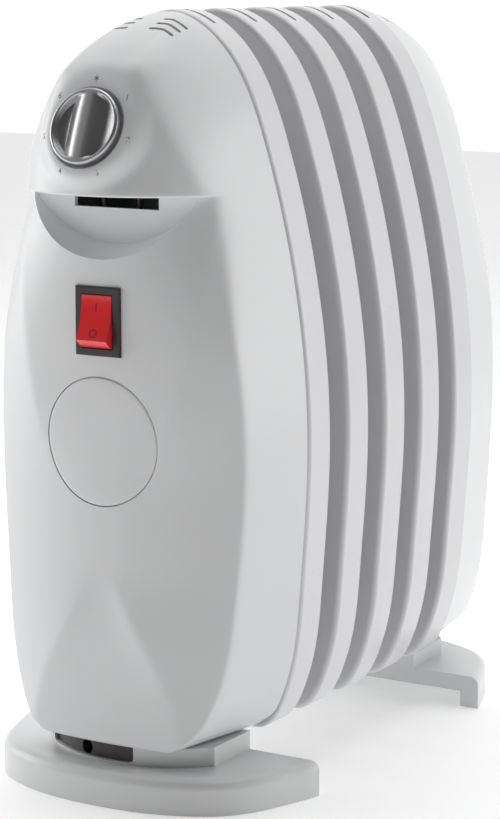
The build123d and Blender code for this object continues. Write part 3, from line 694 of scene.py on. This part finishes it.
# ------------------------------------------------------------------ materials
def material(name, color, roughness, grain=900.0, bump=0.04, spread=0.06, tint=0.05, stretch=(1, 1, 1),
             bump_depth=0.0002, **fixed):
    """Procedural finish: fine grain in bump and roughness, and a slow drift in colour."""
    mat = bpy.data.materials.new(name)
    mat.use_nodes = True
    nodes = mat.node_tree.nodes
    links = mat.node_tree.links
    shader = nodes["Principled BSDF"]
    for socket, value in fixed.items():
        shader.inputs[socket.replace("_", " ")].default_value = value
    place = nodes.new("ShaderNodeTexCoord")
    scale = nodes.new("ShaderNodeMapping")
    scale.inputs["Scale"].default_value = stretch
    links.new(place.outputs["Object"], scale.inputs["Vector"])
    fine = nodes.new("ShaderNodeTexNoise")
    fine.inputs["Scale"].default_value = grain
    fine.inputs["Detail"].default_value = 4.0
    links.new(scale.outputs["Vector"], fine.inputs["Vector"])
    slow = nodes.new("ShaderNodeTexNoise")
    slow.inputs["Scale"].default_value = 14.0
    slow.inputs["Detail"].default_value = 3.0
    links.new(place.outputs["Object"], slow.inputs["Vector"])
    rough = nodes.new("ShaderNodeMapRange")
    rough.inputs["To Min"].default_value = max(roughness - spread, 0.02)
    rough.inputs["To Max"].default_value = roughness + spread
    links.new(fine.outputs["Fac"], rough.inputs["Value"])
    links.new(rough.outputs["Result"], shader.inputs["Roughness"])
    lift = nodes.new("ShaderNodeBump")
    lift.inputs["Strength"].default_value = bump
    lift.inputs["Distance"].default_value = bump_depth
    links.new(fine.outputs["Fac"], lift.inputs["Height"])
    links.new(lift.outputs["Normal"], shader.inputs["Normal"])
    blend = nodes.new("ShaderNodeMix")
    blend.data_type = "RGBA"
    blend.inputs["A"].default_value = (*[c * (1 - tint) for c in color], 1)
    blend.inputs["B"].default_value = (*color, 1)
    links.new(slow.outputs["Fac"], blend.inputs["Factor"])
    links.new(blend.outputs["Result"], shader.inputs["Base Color"])
    return mat


def finishes():
    """One material for each slot of the record."""
    brushed = {"grain": 60.0, "stretch": (1, 1, 40), "bump": 0.12, "spread": 0.1}
    return {
        "white_cover": material("white_cover", (0.8, 0.805, 0.815), 0.34, grain=1400, bump=0.05,
                                tint=0.02, Coat_Weight=0.25, Coat_Roughness=0.2),
        "white_foot": material("white_foot", (0.77, 0.775, 0.78), 0.32, grain=1400, bump=0.05,
                               tint=0.02, Coat_Weight=0.2, Coat_Roughness=0.2),
        "fin_paint": material("fin_paint", (0.75, 0.75, 0.765), 0.3, grain=420, bump=0.08, tint=0.03,
                              Coat_Weight=0.4, Coat_Roughness=0.15),
        "silver_knob": material("silver_knob", (0.52, 0.52, 0.53), 0.34, grain=2600, bump=0.1,
                                Metallic=0.85),
        "red_rocker": material("red_rocker", (0.93, 0.03, 0.035), 0.22, grain=500, bump=0.03,
                               tint=0.12, Coat_Weight=0.5, Coat_Roughness=0.1),
        "black_plastic": material("black_plastic", (0.05, 0.04, 0.042), 0.38, grain=1800, bump=0.15,
                                  tint=0.3),
        "block_plastic": material("block_plastic", (0.62, 0.6, 0.55), 0.55, grain=900, bump=0.2,
                                  tint=0.12),
        "zinc_steel": material("zinc_steel", (0.66, 0.67, 0.69), 0.34, tint=0.15, Metallic=1.0, **brushed),
        "brass": material("brass", (0.78, 0.6, 0.3), 0.3, tint=0.15, Metallic=1.0, **brushed),
        "red_gasket": material("red_gasket", (0.42, 0.09, 0.07), 0.6, grain=1200, bump=0.3, tint=0.15),
        "lamp_glass": material("lamp_glass", (0.95, 0.6, 0.4), 0.06, grain=300, bump=0.02, spread=0.02,
                               Transmission_Weight=0.85, IOR=1.47),
        # Painted shade: much darker than real brown insulation, standing in for the shade these wires sit
        # in behind the air slot.
        "wire_brown": material("wire_brown", (0.03, 0.014, 0.009), 0.42, grain=700, bump=0.12, tint=0.15),
        "wire_blue": material("wire_blue", (0.07, 0.18, 0.56), 0.42, grain=700, bump=0.12, tint=0.15),
        "wire_green": material("wire_green", (0.28, 0.52, 0.1), 0.42, grain=700, bump=0.12, tint=0.15),
    }


def print_ink(name, color):
    return material(name, color, 0.5, grain=1500, bump=0.05, tint=0.1)


# ------------------------------------------------------------------ studio
def studio_world():
    """White surroundings, with a darker part of the room ahead of the object."""
    world = bpy.data.worlds.new("studio")
    world.use_nodes = True
    nodes = world.node_tree.nodes
    links = world.node_tree.links
    nodes["Background"].inputs["Color"].default_value = (1, 1, 1, 1)
    way = nodes.new("ShaderNodeTexCoord")
    facing = nodes.new("ShaderNodeVectorMath")
    facing.operation = "DOT_PRODUCT"
    facing.inputs[1].default_value = DARK_SIDE
    links.new(way.outputs["Generated"], facing.inputs[0])
    fall = nodes.new("ShaderNodeMapRange")
    fall.interpolation_type = "SMOOTHSTEP"
    fall.inputs["From Min"].default_value = WORLD_TURN[0]
    fall.inputs["From Max"].default_value = WORLD_TURN[1]
    fall.inputs["To Min"].default_value = WORLD_STRENGTH[0]
    fall.inputs["To Max"].default_value = WORLD_STRENGTH[1]
    links.new(facing.outputs["Value"], fall.inputs["Value"])
    links.new(fall.outputs["Result"], nodes["Background"].inputs["Strength"])
    return world


def studio():
    """Pale floor, a bright world, soft lights at both sides and above, and the camera."""
    bpy.ops.mesh.primitive_grid_add(x_subdivisions=24, y_subdivisions=24, size=8)
    floor = bpy.context.object
    floor.name = "studio_floor"
    floor.data.materials.append(material("floor_pale", (0.95, 0.95, 0.95), 0.6, grain=60, bump=0.01,
                                         tint=0.01, Emission_Color=(1, 1, 1, 1), Emission_Strength=0.3))
    bpy.context.scene.world = studio_world()
    bpy.context.scene.view_settings.view_transform = "Standard"
    target = Vector((0, 0, 0.19))
    for name, place, size, power in (
            ("light_left", (-1.7, -0.5, 0.6), 1.2, 11),
            ("light_right", (1.5, 1.0, 0.5), 1.2, 9),
            ("light_top", (0.0, 0.1, 1.7), 1.3, 9)):
        data = bpy.data.lights.new(name, "AREA")
        data.size = size
        data.energy = power
        lamp = bpy.data.objects.new(name, data)
        lamp.location = place
        lamp.rotation_euler = (target - Vector(place)).to_track_quat("-Z", "Y").to_euler()
        bpy.context.scene.collection.objects.link(lamp)
    data = bpy.data.cameras.new("camera")
    data.lens = CAMERA_LENS
    data.sensor_width = 36.0
    data.clip_end = 50
    camera = bpy.data.objects.new("camera", data)
    camera.location = (CAMERA_PLACE[0], FRONT_Y * MM + CAMERA_PLACE[1], CAMERA_PLACE[2])
    camera.rotation_euler = (math.radians(90 - CAMERA_DOWN), 0, math.radians(CAMERA_TURN))
    bpy.context.scene.collection.objects.link(camera)
    bpy.context.scene.camera = camera


# ------------------------------------------------------------------ assembly
slots = finishes()
for part in frame["record"]["subparts"]:
    node = frame["nodes"][part["node"]]
    node.data.materials.clear()
    node.data.materials.append(slots[part["material_slot"]])

shell_front = front_cover()
for piece, slot_name, body in (
        (shell_front, "white_cover", "heater"),
        (rear_cover(), "white_cover", "heater"),
        (cap(), "white_cover", "heater"),
        (knob(), "silver_knob", "knob")):
    piece.data.materials.clear()
    piece.data.materials.append(slots[slot_name])
    # The knob's second slot, black plastic, paints shade on its lower side for the dark gap round it.
    if slot_name == "silver_knob":
        piece.data.materials.append(slots["black_plastic"])
    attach(piece, body)

grey_ink = print_ink("ink_grey", (0.2, 0.2, 0.21))
dark_ink = print_ink("ink_dark", (0.08, 0.01, 0.012))
for mark in dial_marks(shell_front):
    mark.data.materials.append(grey_ink)
    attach(mark, "heater")
for mark in rocker_marks():
    mark.data.materials.append(dark_ink)
    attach(mark, "rocker")

studio()
